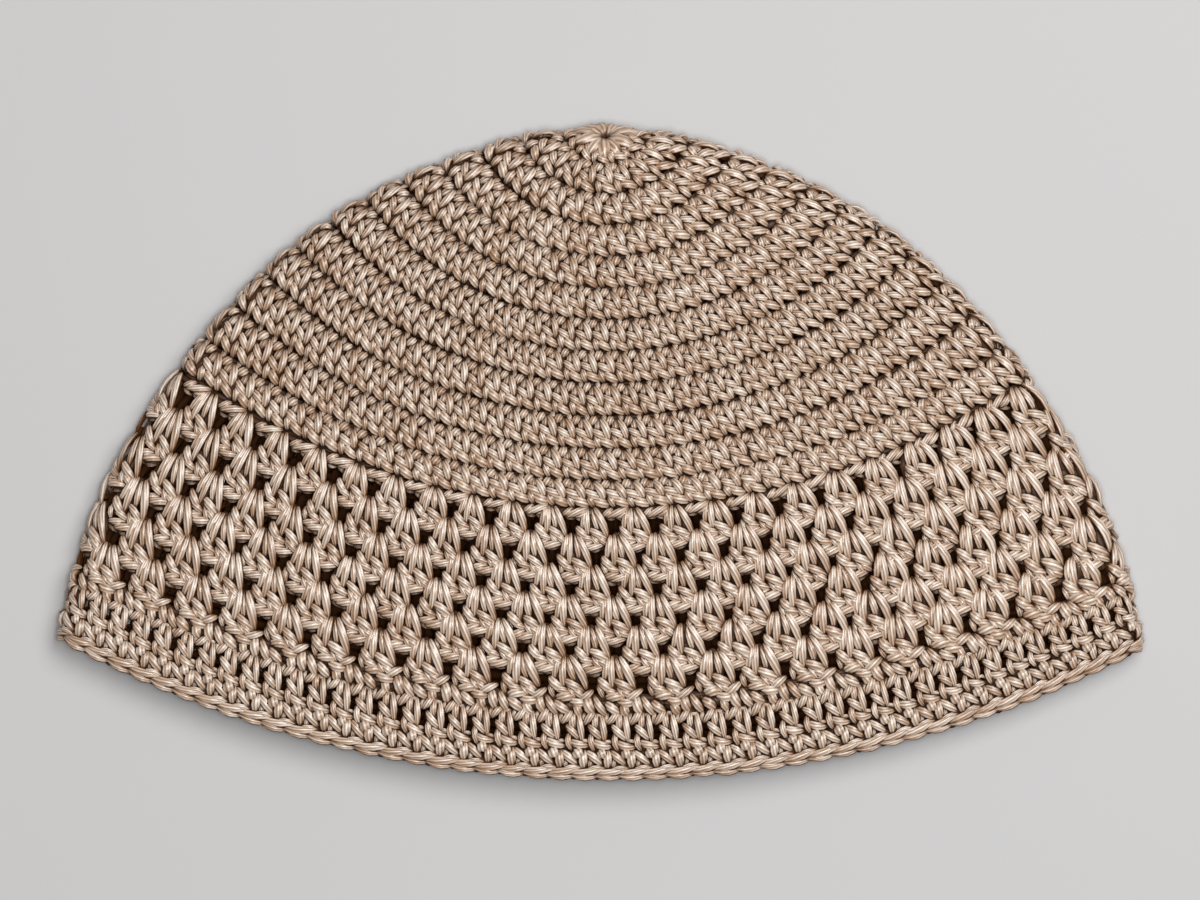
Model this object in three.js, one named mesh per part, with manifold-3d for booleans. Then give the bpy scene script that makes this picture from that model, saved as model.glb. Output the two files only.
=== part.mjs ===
// A crocheted kufi: a brimless cap worked in the round from the centre of its crown to a corded rim.
// It lies as it is stored, crown towards +Y and open rim towards -Y. The under layer is pressed flat on the
// table, the upper layer is puffed, and the two meet in a rounded fold along each side.
// Millimetres, +Z up. The origin is on the table, at the middle of the cap's outline.
import * as THREE from 'three';
import { LoftGeometry } from 'three/addons/geometries/LoftGeometry.js';
import { mergeVertices } from 'three/addons/utils/BufferGeometryUtils.js';
import Module from 'manifold-3d';

// The fabric
const WALL = 3.4; // two crossed strands of 2 mm yarn
const FOLD_RADIUS = 3.2; // of the wall's middle, where the layers meet at the sides
const SEAM_DEPTH = 0.9; // the groove between two rounds
const ZONE_GAP = 0.3; // between two stitch zones

// Heights of the rounds, along the fabric from the crown's centre
const CROWN_ROUND = 8;
const LAST_CROWN_ROUND = 6.9;
const CROWN_HEIGHTS = [...Array(11).fill(CROWN_ROUND), LAST_CROWN_ROUND];
const OPEN_ROUND = 7.7;
const OPEN_HEIGHTS = Array(6).fill(OPEN_ROUND);
const BORDER_HEIGHTS = [5.1, 9.3, 4.4];
const EDGING_HEIGHT = 3.2;

// Where each round lies. reach is the length of fabric from the crown's centre. halfWidth, foldY and foldZ
// place the fold at the sides, and foldRun is how far the rounding reaches in from it. frontY and frontZ are the
// middle of the upper layer, and backY and backZ the middle of the under layer. All are at mid-wall.
const COLUMNS = ['reach', 'halfWidth', 'foldY', 'foldZ', 'foldRun', 'frontY', 'frontZ', 'backY', 'backZ'];
const ROWS = [
  [0, 0, 78.2, 8.4, 0, 78.2, 8.4, 78.2, 8.4],
  [2, 2.7, 78.3, 8.3, 3.2, 76.7, 9.3, 79.2, 7.2],
  [4, 5.4, 78.4, 8, 6.4, 74.9, 10, 79.8, 5.9],
  [8, 10.8, 78.5, 7.2, 10, 71.3, 11, 79.2, 3.6],
  [16, 21.3, 77.1, 6.2, 8, 63.7, 12.4, 72.3, 1.7],
  [32, 40.8, 70.7, 5.4, 6, 48.2, 14.3, 56.3, 1.7],
  [48, 59.6, 61.8, 5.1, 5, 32.6, 15.4, 40.3, 1.7],
  [64, 76.6, 50.1, 4.9, 4, 16.8, 15.9, 24.3, 1.7],
  [80, 91.6, 35.8, 4.9, 4, 0.6, 16, 8.3, 1.7],
  [95, 103.7, 21, 4.9, 4, -14, 15.7, -6.7, 1.7],
  [118, 117.8, -0.7, 4.9, 4, -36.9, 14.4, -29.7, 1.7],
  [141, 128, -24, 4.9, 4, -59.7, 12.5, -52.7, 1.7],
  [163, 134.2, -48, 4.9, 4, -81.2, 10.6, -74.7, 1.7],
];
const LEAST_BOW = 0.01; // of a layer in plan, so that a straight one still has a radius
const PUFF_POWER = 1.5; // how steeply the puffed upper layer falls towards the folds
const SECTIONS = ROWS.map((row) => Object.fromEntries(COLUMNS.map((name, i) => [name, row[i]])));

// How finely a round is faceted
const UPPER_STEPS = 32;
const UNDER_STEPS = 16;
const FOLD_SHARE = 1 / 8; // of a layer's steps, spent on the rounding at each of its ends
const CROWDED_SHARE = 0.4; // of a layer's length, the most that those steps cover
const APEX_REACH = 1; // the small ring that is closed at the crown's centre
const CROWN_INNER_RINGS = 10;
const OPEN_INNER_RINGS = 4;
const BORDER_INNER_RINGS = 3;
const EDGING_SIDES = 8;
const SMALL_STEP = 0.004; // between the points that give the wall's directions
const WELD = 1e-3; // points this close are one point

// The openwork's holes, one between each two clusters of a round
const CLUSTERS_ACROSS = 22.5; // over the upper layer, from fold to fold
const HOLES_ACROSS = 20; // of those, the ones on the open upper face
const HOLE_DOWN = 0.75; // of the round's height, from its top to the hole's middle
const HOLE_WIDTH = 3;
const HOLE_HEIGHT = 3.6;
const HOLE_TAPER = 0.75; // of the width, at the hole's lower edge

const FIRST_OFFSET = -0.2; // of a cluster, from the middle line to the first round's clusters

// The slope of one column of SECTIONS at a row, from the rows beside it.
function slopeAt(name, row) {
  const before = SECTIONS[Math.max(row - 1, 0)];
  const after = SECTIONS[Math.min(row + 1, SECTIONS.length - 1)];
  return (after[name] - before[name]) / (after.reach - before.reach);
}

// One column of SECTIONS at any reach, on a smooth curve through the rows.
function column(name, reach) {
  const found = SECTIONS.findIndex((row) => row.reach > reach);
  const next = found < 0 ? SECTIONS.length - 1 : found;
  const from = SECTIONS[next - 1];
  const to = SECTIONS[next];
  const span = to.reach - from.reach;
  const t = (reach - from.reach) / span;
  const fromSlope = slopeAt(name, next - 1) * span;
  const toSlope = slopeAt(name, next) * span;
  const rise = to[name] - from[name];
  const bend = 3 * rise - 2 * fromSlope - toSlope;
  const twist = fromSlope + toSlope - 2 * rise;
  return from[name] + t * (fromSlope + t * (bend + t * twist));
}

// One layer of the round at a reach: in plan it is a circular arc from fold to fold.
function layerAt(reach, isUpper) {
  const half = column('halfWidth', reach);
  const foldY = column('foldY', reach);
  const sag = foldY - column(isUpper ? 'frontY' : 'backY', reach);
  const bow = Math.max(Math.abs(sag), LEAST_BOW);
  const radius = (half * half + bow * bow) / (2 * bow);
  const angle = Math.asin(Math.min(half / radius, 1));
  const length = 2 * radius * angle;
  const foldZ = column('foldZ', reach);
  const foldRun = Math.min(column('foldRun', reach), length / 2);
  const crowded = Math.min(FOLD_RADIUS, CROWDED_SHARE * length);
  const middleZ = Math.max(column(isUpper ? 'frontZ' : 'backZ', reach), WALL / 2);
  return { radius, angle, length, foldY, foldZ, foldRun, crowded, middleZ, side: Math.sign(sag) };
}

// How far along a layer's arc a share of its steps reaches. The steps crowd at both folds.
function alongArc(layer, share) {
  const nearer = Math.min(share, 1 - share);
  const turned = (Math.min(nearer / FOLD_SHARE, 1) * Math.PI) / 2;
  const open = Math.max(nearer - FOLD_SHARE, 0) / (0.5 - FOLD_SHARE);
  const distance = layer.crowded * (1 - Math.cos(turned)) + open * (layer.length / 2 - layer.crowded);
  return share < 0.5 ? distance : layer.length - distance;
}

// A point at mid-wall. turn runs right to left over the upper layer, 0 to 1, and back under it, 1 to 2.
function midWall(reach, turn) {
  const wrapped = (turn + 2) % 2;
  const isUpper = wrapped < 1;
  const layer = layerAt(reach, isUpper);
  const distance = alongArc(layer, isUpper ? wrapped : 2 - wrapped);
  const bearing = layer.angle - distance / layer.radius;
  const x = layer.radius * Math.sin(bearing);
  const y = layer.foldY - layer.side * layer.radius * (Math.cos(bearing) - Math.cos(layer.angle));
  const fromFold = Math.min(distance, layer.length - distance);
  const rounding = Math.sqrt(1 - (1 - Math.min(fromFold / layer.foldRun, 1)) ** 2);
  const lift = layer.middleZ - layer.foldZ;
  const roundOver = isUpper ? Math.min(lift, FOLD_RADIUS) : lift;
  const puff = Math.max(1 - (bearing / layer.angle) ** 2, 0) ** PUFF_POWER;
  return new THREE.Vector3(x, y, layer.foldZ + roundOver * rounding + (lift - roundOver) * puff);
}

// The directions along the round and out of the wall at a point.
function wallFrame(reach, turn) {
  const around = midWall(reach, turn + SMALL_STEP).sub(midWall(reach, turn - SMALL_STEP)).normalize();
  const above = Math.max(reach - SMALL_STEP, SMALL_STEP);
  const down = midWall(reach + SMALL_STEP, turn).sub(midWall(above, turn));
  const out = new THREE.Vector3().crossVectors(around, down).normalize();
  return { around, out };
}

// A point of the wall's outer (+) or inner (-) face. What rests on the table is pressed flat.
function wallPoint(reach, turn, offset) {
  const point = midWall(reach, turn).addScaledVector(wallFrame(reach, turn).out, offset);
  point.z = Math.max(point.z, 0);
  return point;
}

// One closed ring of the wall. A groove sinks its outer face where the cap is not pressed on the table.
function ring(reach, offset, groove = 0) {
  const upper = Array.from({ length: UPPER_STEPS }, (_, i) => i / UPPER_STEPS);
  const under = Array.from({ length: UNDER_STEPS }, (_, i) => 1 + i / UNDER_STEPS);
  return [...upper, ...under].map((turn) => {
    const free = THREE.MathUtils.smoothstep(midWall(reach, turn).z, WALL / 2, FOLD_RADIUS);
    return wallPoint(reach, turn, offset - groove * free);
  });
}

// The outer rings of a run of rounds: a seam's groove above each, then its crest. The crown's centre has none.
function outerRings(start, end, heights) {
  const rings = [];
  let seam = start;
  for (const height of heights) {
    const top = Math.max(seam, start + ZONE_GAP / 2, APEX_REACH);
    rings.push(ring(top, WALL / 2, seam > 0 ? SEAM_DEPTH : 0));
    rings.push(ring(seam + height / 2, WALL / 2));
    seam += height;
  }
  rings.push(ring(end - ZONE_GAP / 2, WALL / 2, SEAM_DEPTH));
  return rings;
}

// The inner rings, from the zone's end back to its start. The inside is smooth, so they are fewer.
function innerRings(start, end, count) {
  const first = Math.max(start + ZONE_GAP / 2, APEX_REACH);
  const last = end - ZONE_GAP / 2;
  return Array.from({ length: count }, (_, i) => ring(last + ((first - last) * i) / (count - 1), -WALL / 2));
}

const total = (heights) => heights.reduce((sum, height) => sum + height, 0);

// A ring drawn in to its own middle, which closes the wall at the crown's centre.
function drawnIn(points) {
  const middle = new THREE.Vector3();
  points.forEach((point) => middle.addScaledVector(point, 1 / points.length));
  return points.map(() => middle);
}

// The crown closes on itself at its centre, outside and in.
function crownWall(end) {
  const outer = outerRings(0, end, CROWN_HEIGHTS);
  const inner = innerRings(0, end, CROWN_INNER_RINGS);
  return new LoftGeometry([drawnIn(outer[0]), ...outer, ...inner, drawnIn(inner.at(-1))]);
}

// A band is open at both ends, so its rings run down outside, up inside and meet.
function bandWall(start, heights, innerCount) {
  const end = start + total(heights);
  const outer = outerRings(start, end, heights);
  return new LoftGeometry([...outer, ...innerRings(start, end, innerCount), outer[0]]);
}

// The corded edge is a round tube along the rim.
function edgingTube(start) {
  const middle = start + ZONE_GAP / 2 + EDGING_HEIGHT / 2;
  const rings = Array.from({ length: EDGING_SIDES + 1 }, (_, i) => {
    const angle = ((i % EDGING_SIDES) / EDGING_SIDES) * 2 * Math.PI;
    return ring(middle - (EDGING_HEIGHT / 2) * Math.cos(angle), (WALL / 2) * Math.sin(angle));
  });
  return new LoftGeometry(rings);
}

// Where on the upper layer a distance from its middle line lies, as a turn.
function upperTurn(reach, fromMiddle) {
  const { length, crowded } = layerAt(reach, true);
  return 0.5 - ((0.5 - FOLD_SHARE) * fromMiddle) / (length / 2 - crowded);
}

// The tool for one hole: a four-sided prism through the wall, narrower towards the rim.
function holeTool(reach, turn) {
  const [w, h] = [HOLE_WIDTH / 2, HOLE_HEIGHT / 2];
  const corners = [[-w * HOLE_TAPER, -h], [w * HOLE_TAPER, -h], [w, h], [-w, h]];
  const outline = new THREE.Shape(corners.map(([x, y]) => new THREE.Vector2(x, y)));
  const tool = new THREE.ExtrudeGeometry(outline, { depth: 2 * WALL, bevelEnabled: false });
  const { around, out } = wallFrame(reach, turn);
  const up = new THREE.Vector3().crossVectors(out, around).normalize();
  const place = new THREE.Matrix4().makeBasis(around, up, out).setPosition(midWall(reach, turn));
  return tool.translate(0, 0, -WALL).applyMatrix4(place);
}

const wasm = await Module();
wasm.setup();

function toSolid(geometry) {
  const bare = new THREE.BufferGeometry().setAttribute('position', geometry.getAttribute('position'));
  const merged = mergeVertices(bare.setIndex(geometry.index), WELD);
  const vertProperties = merged.attributes.position.array;
  const triVerts = new Uint32Array(merged.index.array);
  return new wasm.Manifold(new wasm.Mesh({ numProp: 3, vertProperties, triVerts }));
}

function toGeometry(solid) {
  const { vertProperties, triVerts } = solid.getMesh();
  const geometry = new THREE.BufferGeometry();
  geometry.setAttribute('position', new THREE.BufferAttribute(vertProperties, 3));
  geometry.setIndex(new THREE.BufferAttribute(triVerts, 1));
  geometry.computeVertexNormals();
  return geometry;
}

// The openwork: each round's holes lie half a cluster further than those of the round above.
function openworkWall(start) {
  let solid = toSolid(bandWall(start, OPEN_HEIGHTS, OPEN_INNER_RINGS));
  OPEN_HEIGHTS.forEach((height, round) => {
    const reach = start + (round + HOLE_DOWN) * height;
    const pitch = layerAt(reach, true).length / CLUSTERS_ACROSS;
    const shift = FIRST_OFFSET + (round % 2 ? 0 : 0.5);
    for (let i = 0; i < HOLES_ACROSS; i += 1) {
      const fromMiddle = (i - HOLES_ACROSS / 2 + shift) * pitch;
      solid = solid.subtract(toSolid(holeTool(reach, upperTurn(reach, fromMiddle))));
    }
  });
  return toGeometry(solid);
}

function piece(name, geometry, color) {
  const material = new THREE.MeshStandardMaterial({ color, roughness: 0.55, metalness: 0 });
  const mesh = new THREE.Mesh(geometry, material);
  mesh.name = name;
  return mesh;
}

const crownEnd = total(CROWN_HEIGHTS);
const openEnd = crownEnd + total(OPEN_HEIGHTS);
const borderEnd = openEnd + total(BORDER_HEIGHTS);

const kufi = new THREE.Group();
kufi.add(piece('crown', crownWall(crownEnd), 0x9f8a79));
kufi.add(piece('openwork_band', openworkWall(crownEnd), 0x988372));
kufi.add(piece('border_band', bandWall(openEnd, BORDER_HEIGHTS, BORDER_INNER_RINGS), 0x9b8675));
kufi.add(piece('rim_edging', edgingTube(borderEnd), 0xa58f7d));

export default kufi;
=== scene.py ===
# %% [markdown]
# # A crocheted kufi, laid flat
# The cap is one long yarn worked in the round, from the centre of its crown to a corded rim, and it lies on
# a table with the crown away from us. What the eye sees is not a sheet with a pattern on it but thousands of
# short bits of yarn that dive under each other. A bump map would give the pattern, but flat edges and closed
# holes. So this lesson works out the cap's wall once, as a smooth surface, and then lays every visible strand
# on it.

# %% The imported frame
import math
from collections import namedtuple

import bmesh
import bpy
import numpy as np
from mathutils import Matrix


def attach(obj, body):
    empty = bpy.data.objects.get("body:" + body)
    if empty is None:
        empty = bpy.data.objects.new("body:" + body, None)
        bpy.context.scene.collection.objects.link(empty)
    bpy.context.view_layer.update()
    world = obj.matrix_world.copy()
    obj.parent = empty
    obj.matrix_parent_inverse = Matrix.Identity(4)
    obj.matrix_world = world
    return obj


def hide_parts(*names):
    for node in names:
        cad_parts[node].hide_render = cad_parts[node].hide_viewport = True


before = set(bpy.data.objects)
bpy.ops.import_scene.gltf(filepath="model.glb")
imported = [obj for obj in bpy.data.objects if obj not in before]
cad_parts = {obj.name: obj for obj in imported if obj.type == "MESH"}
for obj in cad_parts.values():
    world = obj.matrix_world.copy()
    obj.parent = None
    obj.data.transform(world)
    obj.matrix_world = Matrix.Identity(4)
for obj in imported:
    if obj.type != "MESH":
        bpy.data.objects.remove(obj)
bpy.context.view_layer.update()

# %% [markdown]
# ## The wall that carries the stitches
# A round of stitches is a closed loop: an arc over the upper layer, a rounded fold at each side, and an arc
# back under. A short table says where each loop lies, by its reach, the length of fabric from the crown's
# centre. The numbers are the ones that the solid model was built from, in millimetres, at the middle of the
# wall. The solid's own mesh could be read instead, but a smooth curve through each column of the table gives
# every loop between the rows as well.

# %% The table of loops
COLUMNS = ["reach", "half_width", "fold_y", "fold_z", "fold_run", "front_y", "front_z", "back_y", "back_z"]
LOOPS = np.array([
    [0, 0, 78.2, 8.4, 0, 78.2, 8.4, 78.2, 8.4],
    [2, 2.7, 78.3, 8.3, 3.2, 76.7, 9.3, 79.2, 7.2],
    [4, 5.4, 78.4, 8, 6.4, 74.9, 10, 79.8, 5.9],
    [8, 10.8, 78.5, 7.2, 10, 71.3, 11, 79.2, 3.6],
    [16, 21.3, 77.1, 6.2, 8, 63.7, 12.4, 72.3, 1.7],
    [32, 40.8, 70.7, 5.4, 6, 48.2, 14.3, 56.3, 1.7],
    [48, 59.6, 61.8, 5.1, 5, 32.6, 15.4, 40.3, 1.7],
    [64, 76.6, 50.1, 4.9, 4, 16.8, 15.9, 24.3, 1.7],
    [80, 91.6, 35.8, 4.9, 4, 0.6, 16, 8.3, 1.7],
    [95, 103.7, 21, 4.9, 4, -14, 15.7, -6.7, 1.7],
    [118, 117.8, -0.7, 4.9, 4, -36.9, 14.4, -29.7, 1.7],
    [141, 128, -24, 4.9, 4, -59.7, 12.5, -52.7, 1.7],
    [163, 134.2, -48, 4.9, 4, -81.2, 10.6, -74.7, 1.7],
])


def loop_column(name, reach):
    """One column of the table at any reach, on a smooth curve through its rows."""
    knots = LOOPS[:, 0]
    values = LOOPS[:, COLUMNS.index(name)]
    before = np.maximum(np.arange(len(knots)) - 1, 0)
    after = np.minimum(np.arange(len(knots)) + 1, len(knots) - 1)
    slopes = (values[after] - values[before]) / (knots[after] - knots[before])
    row = np.clip(np.searchsorted(knots, reach, side="right") - 1, 0, len(knots) - 2)
    span = knots[row + 1] - knots[row]
    t = (reach - knots[row]) / span
    leave = slopes[row] * span
    arrive = slopes[row + 1] * span
    rise = values[row + 1] - values[row]
    bend = 3 * rise - 2 * leave - arrive
    return values[row] + t * (leave + t * (bend + t * (leave + arrive - 2 * rise)))


# %% One layer of each loop, from the right fold to the left one
FOLD_RADIUS = 3.2
HALF_WALL = 1.7
LEAST_BOW = 0.01
PUFF_POWER = 1.5


def layer_points(reach, share, is_upper):
    """Points of the upper or under layer, a row for each reach and a column for each share of the arc."""
    middle_y, middle_z = ("front_y", "front_z") if is_upper else ("back_y", "back_z")
    half = loop_column("half_width", reach)
    fold_y = loop_column("fold_y", reach)
    fold_z = loop_column("fold_z", reach)
    sag = fold_y - loop_column(middle_y, reach)
    bow = np.maximum(np.abs(sag), LEAST_BOW)
    radius = (half**2 + bow**2) / (2 * bow)
    angle = np.arcsin(np.minimum(half / radius, 1))
    length = 2 * radius * angle
    bearing = angle - share * length / radius
    x = radius * np.sin(bearing)
    y = fold_y - np.sign(sag) * radius * (np.cos(bearing) - np.cos(angle))
    fold_run = np.minimum(loop_column("fold_run", reach), length / 2)
    from_fold = np.minimum(share, 1 - share) * length
    rounding = np.sqrt(1 - (1 - np.minimum(from_fold / fold_run, 1)) ** 2)
    lift = np.maximum(loop_column(middle_z, reach), HALF_WALL) - fold_z
    round_over = np.minimum(lift, FOLD_RADIUS) if is_upper else lift
    puff = np.maximum(1 - (bearing / angle) ** 2, 0) ** PUFF_POWER
    return np.stack([x, y, fold_z + round_over * rounding + (lift - round_over) * puff], axis=-1)


# %% [markdown]
# ## The wall as a grid
# Stitches sit at even steps round a loop, so the grid's columns are even steps of length too. They start at
# the middle of the upper layer and go round to the right. The outward normal at each grid point comes from
# the steps to its neighbours, and any spot of the wall is then read off the grid.

# %% Even steps round every loop
REACH_STEP = 0.5
GRID_END = 166
REACHES = np.arange(REACH_STEP, GRID_END, REACH_STEP)
STEPS_ROUND = 1400
LAYER_STEPS = 400

# Points are crowded at both ends of a layer, where the folds turn.
crowded = (1 - np.cos(np.linspace(0, math.pi, LAYER_STEPS + 1))) / 2
upper = layer_points(REACHES[:, None], crowded[None, :], True)
under = layer_points(REACHES[:, None], crowded[None, :], False)
middle = LAYER_STEPS // 2
right_half = upper[:, middle::-1]
left_half = upper[:, LAYER_STEPS - 1:middle - 1:-1]
loops = np.concatenate([right_half, under[:, 1:], left_half], axis=1)
steps = np.linalg.norm(np.diff(loops, axis=1), axis=-1)
run = np.concatenate([np.zeros((len(REACHES), 1)), np.cumsum(steps, axis=1)], axis=1)
GIRTHS = run[:, -1]

even = np.arange(STEPS_ROUND) / STEPS_ROUND
wall = np.stack([
    np.stack([np.interp(even * girth, along, loop[:, axis]) for axis in range(3)], axis=-1)
    for girth, along, loop in zip(GIRTHS, run, loops)
])
around = np.roll(wall, -1, axis=1) - np.roll(wall, 1, axis=1)
downward = np.gradient(wall, axis=0)
outward = np.cross(downward, around)
outward /= np.linalg.norm(outward, axis=-1, keepdims=True)
rim_reach = LOOPS[-1, 0]
print("rim girth, millimetres:", round(float(np.interp(rim_reach, REACHES, GIRTHS)), 1))

# %% Reading a spot of the wall
# Just short of the last row, so that there is always a row after it.
LAST_ROW = len(REACHES) - 1.001


def read_grid(grid, reach, share):
    """The grid's value at a reach and a share of the way round, between its four nearest points."""
    row = np.clip(reach / REACH_STEP - 1, 0, LAST_ROW)
    column = (share % 1) * STEPS_ROUND
    r, c = row.astype(int), column.astype(int) % STEPS_ROUND
    down, across = (row - r)[..., None], (column % 1)[..., None]
    right = (c + 1) % STEPS_ROUND
    near = grid[r, c] * (1 - across) + grid[r, right] * across
    far = grid[r + 1, c] * (1 - across) + grid[r + 1, right] * across
    return near * (1 - down) + far * down


def on_wall(reach, share, lift):
    """Points that stand lift millimetres out from mid-wall, and the outward normals there."""
    normal = read_grid(outward, reach, share)
    normal /= np.linalg.norm(normal, axis=-1, keepdims=True)
    return read_grid(wall, reach, share) + normal * lift[..., None], normal


# %% [markdown]
# ## A strand of yarn
# Between two dives a strand is a spindle: fullest in the middle, blunt where it goes under, and pressed flat
# by its neighbours. Three plies show on its top as ridges, and they slant round it, because the yarn was
# twisted. A curve with a round bevel would give a smooth tube, so a small sphere is drawn out into the
# spindle instead, and bent along its path, thousands of times. Its map counts the plies in one direction and
# runs along the yarn in the other. Strands inside the cloth or under the cap have fewer faces.

# %% The spindles that every strand starts from
Spindle = namedtuple("Spindle", "points shown corners starts uvs sides triangles")
FULLNESS = 0.42
GROOVE_DEPTH = 0.15
UNDERSIDE = 0.8
SLANT = math.radians(38)


def ply_section(side, sides):
    """The place of one side of the spindle's section: ridges and grooves on top, one edge underneath."""
    if side == 0:
        return 0.0, -UNDERSIDE
    across = 1 - 2 * (side - 1) / (sides - 2)
    x = (across + math.sin(math.pi / 2 * across)) / 2
    is_groove = side % 2 == 1 and 1 < side < sides - 1
    radius = 1 - GROOVE_DEPTH if is_groove else 1.0
    return radius * x, radius * math.sqrt(max(1 - x * x, 0))


def make_spindle(sides, rings, flatness):
    """A unit spindle along Z: its points, the corners of its faces, and the map of those corners."""
    bm = bmesh.new()
    bm.loops.layers.uv.new("yarn")
    bmesh.ops.create_uvsphere(bm, u_segments=sides, v_segments=rings, radius=1, calc_uvs=True)
    bmesh.ops.recalc_face_normals(bm, faces=bm.faces)
    bm.verts.index_update()
    layer = bm.loops.layers.uv["yarn"]
    # The operator's faces come in a different order each run, so they are sorted by their points.
    faces = sorted(bm.faces, key=lambda face: [vert.index for vert in face.verts])
    sphere = np.array([vert.co for vert in bm.verts])
    corners = np.array([loop.vert.index for face in faces for loop in face.loops])
    uvs = np.array([loop[layer].uv for face in faces for loop in face.loops])
    counts = np.array([len(face.verts) for face in faces])
    bm.free()
    turn = (1 - np.arctan2(sphere[:, 0], sphere[:, 1]) / math.pi) / 2
    section = np.array([ply_section(round(sides * share) % sides, sides) for share in turn])
    along = np.clip(sphere[:, 2], -1, 1)
    cosine, sine = np.cos(SLANT * along), np.sin(SLANT * along)
    thick = np.maximum(1 - along**2, 0) ** FULLNESS
    x = thick * (section[:, 0] * cosine + section[:, 1] * sine)
    y = thick * (section[:, 1] * cosine - section[:, 0] * sine)
    points = np.stack([x, y * flatness, along], axis=-1)
    shown = np.clip(y, 0, 1)
    return Spindle(points, shown, corners, np.cumsum(counts) - counts, uvs, sides, int((counts - 2).sum()))


FACE_STRAND = make_spindle(sides=8, rings=7, flatness=0.68)
UNDER_STRAND = make_spindle(sides=6, rings=4, flatness=0.62)
BACK_STRAND = make_spindle(sides=6, rings=4, flatness=0.65)
print("triangles in a face strand and in the others:", FACE_STRAND.triangles, UNDER_STRAND.triangles)

# %% [markdown]
# ## Stitch charts
# A chart starts with its pitch, the stitch width in millimetres that it was drawn for. Then it lists the
# strands of one stitch as they show on the face of the cloth. Each has a start, a middle and an end. u goes
# across the stitch from 0 to 1, v down the round from 0 to 1, and the third number is the height of the
# yarn's middle over the middle of the wall, in millimetres. The last number is the strand's width. Back
# strands are the hidden posts of the stitches, which close the cloth and make its inner face. One yarn could
# be followed through every loop, but much of it would never be seen.

# %% Crown: the double crochet
Chart = namedtuple("Chart", "pitch face back")
CROWN_STITCH = Chart(
    4.5,
    {
        "bead": ((0.87, 0.025, 0.8), (0.745, 0.10, 1.25), (0.62, 0.24, 0.5), 1.85),
        "tuck": ((0.30, -0.09, 0.8), (0.37, 0.0, 1.3), (0.435, 0.11, 0.9), 1.2),
        "leg": ((0.15, 0.035, 0.3), (0.475, 0.335, 1.25), (0.62, 0.69, 0.5), 1.85),
        "lens": ((0.075, 0.06, -0.1), (0.04, 0.25, 0.5), (0.03, 0.42, 0.1), 1.7),
        "upper wrap": ((-0.25, 0.39, 0.4), (0.10, 0.505, 1.1), (0.51, 0.66, 0.35), 1.75),
        "lower wrap": ((0.12, 0.67, 0.25), (0.515, 0.81, 1.2), (0.90, 0.95, 0.45), 2.05),
        "side leg": ((-0.10, 0.56, 0.1), (0.015, 0.77, 0.95), (0.15, 0.99, 0.35), 1.6),
    },
    {
        "left post": ((0.02, 0.0, -1.0), (0.12, 0.5, -0.95), (0.25, 1.0, -1.0), 2.6),
        "right post": ((0.52, 0.0, -1.0), (0.62, 0.5, -0.95), (0.75, 1.0, -1.0), 2.6),
        "seam bar": ((-0.05, 1.05, -0.5), (0.5, 1.06, -0.45), (1.05, 1.05, -0.5), 1.6),
    },
)
CROWN_CENTRE = Chart(
    2.2,
    {
        "petal": ((0.475, 0.10, -0.2), (0.49, 0.46, 1.0), (0.55, 0.88, 0.4), 2.5),
        "upper wrap": ((-0.02, 0.58, 0.2), (0.18, 0.66, 0.9), (0.42, 0.76, 0.2), 1.3),
        "lower wrap": ((0.20, 0.74, 0.3), (0.55, 0.87, 1.2), (0.92, 0.98, 0.5), 1.6),
        "side leg": ((-0.05, 0.66, 0.3), (0.02, 0.82, 0.95), (0.14, 0.98, 0.4), 1.25),
    },
    {
        "post": ((0.48, 0.05, -0.6), (0.5, 0.5, -0.8), (0.5, 1.0, -1.0), 2.6),
        "seam bar": ((-0.05, 1.0, -0.5), (0.5, 1.01, -0.45), (1.05, 1.0, -0.5), 1.6),
    },
)

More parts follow.
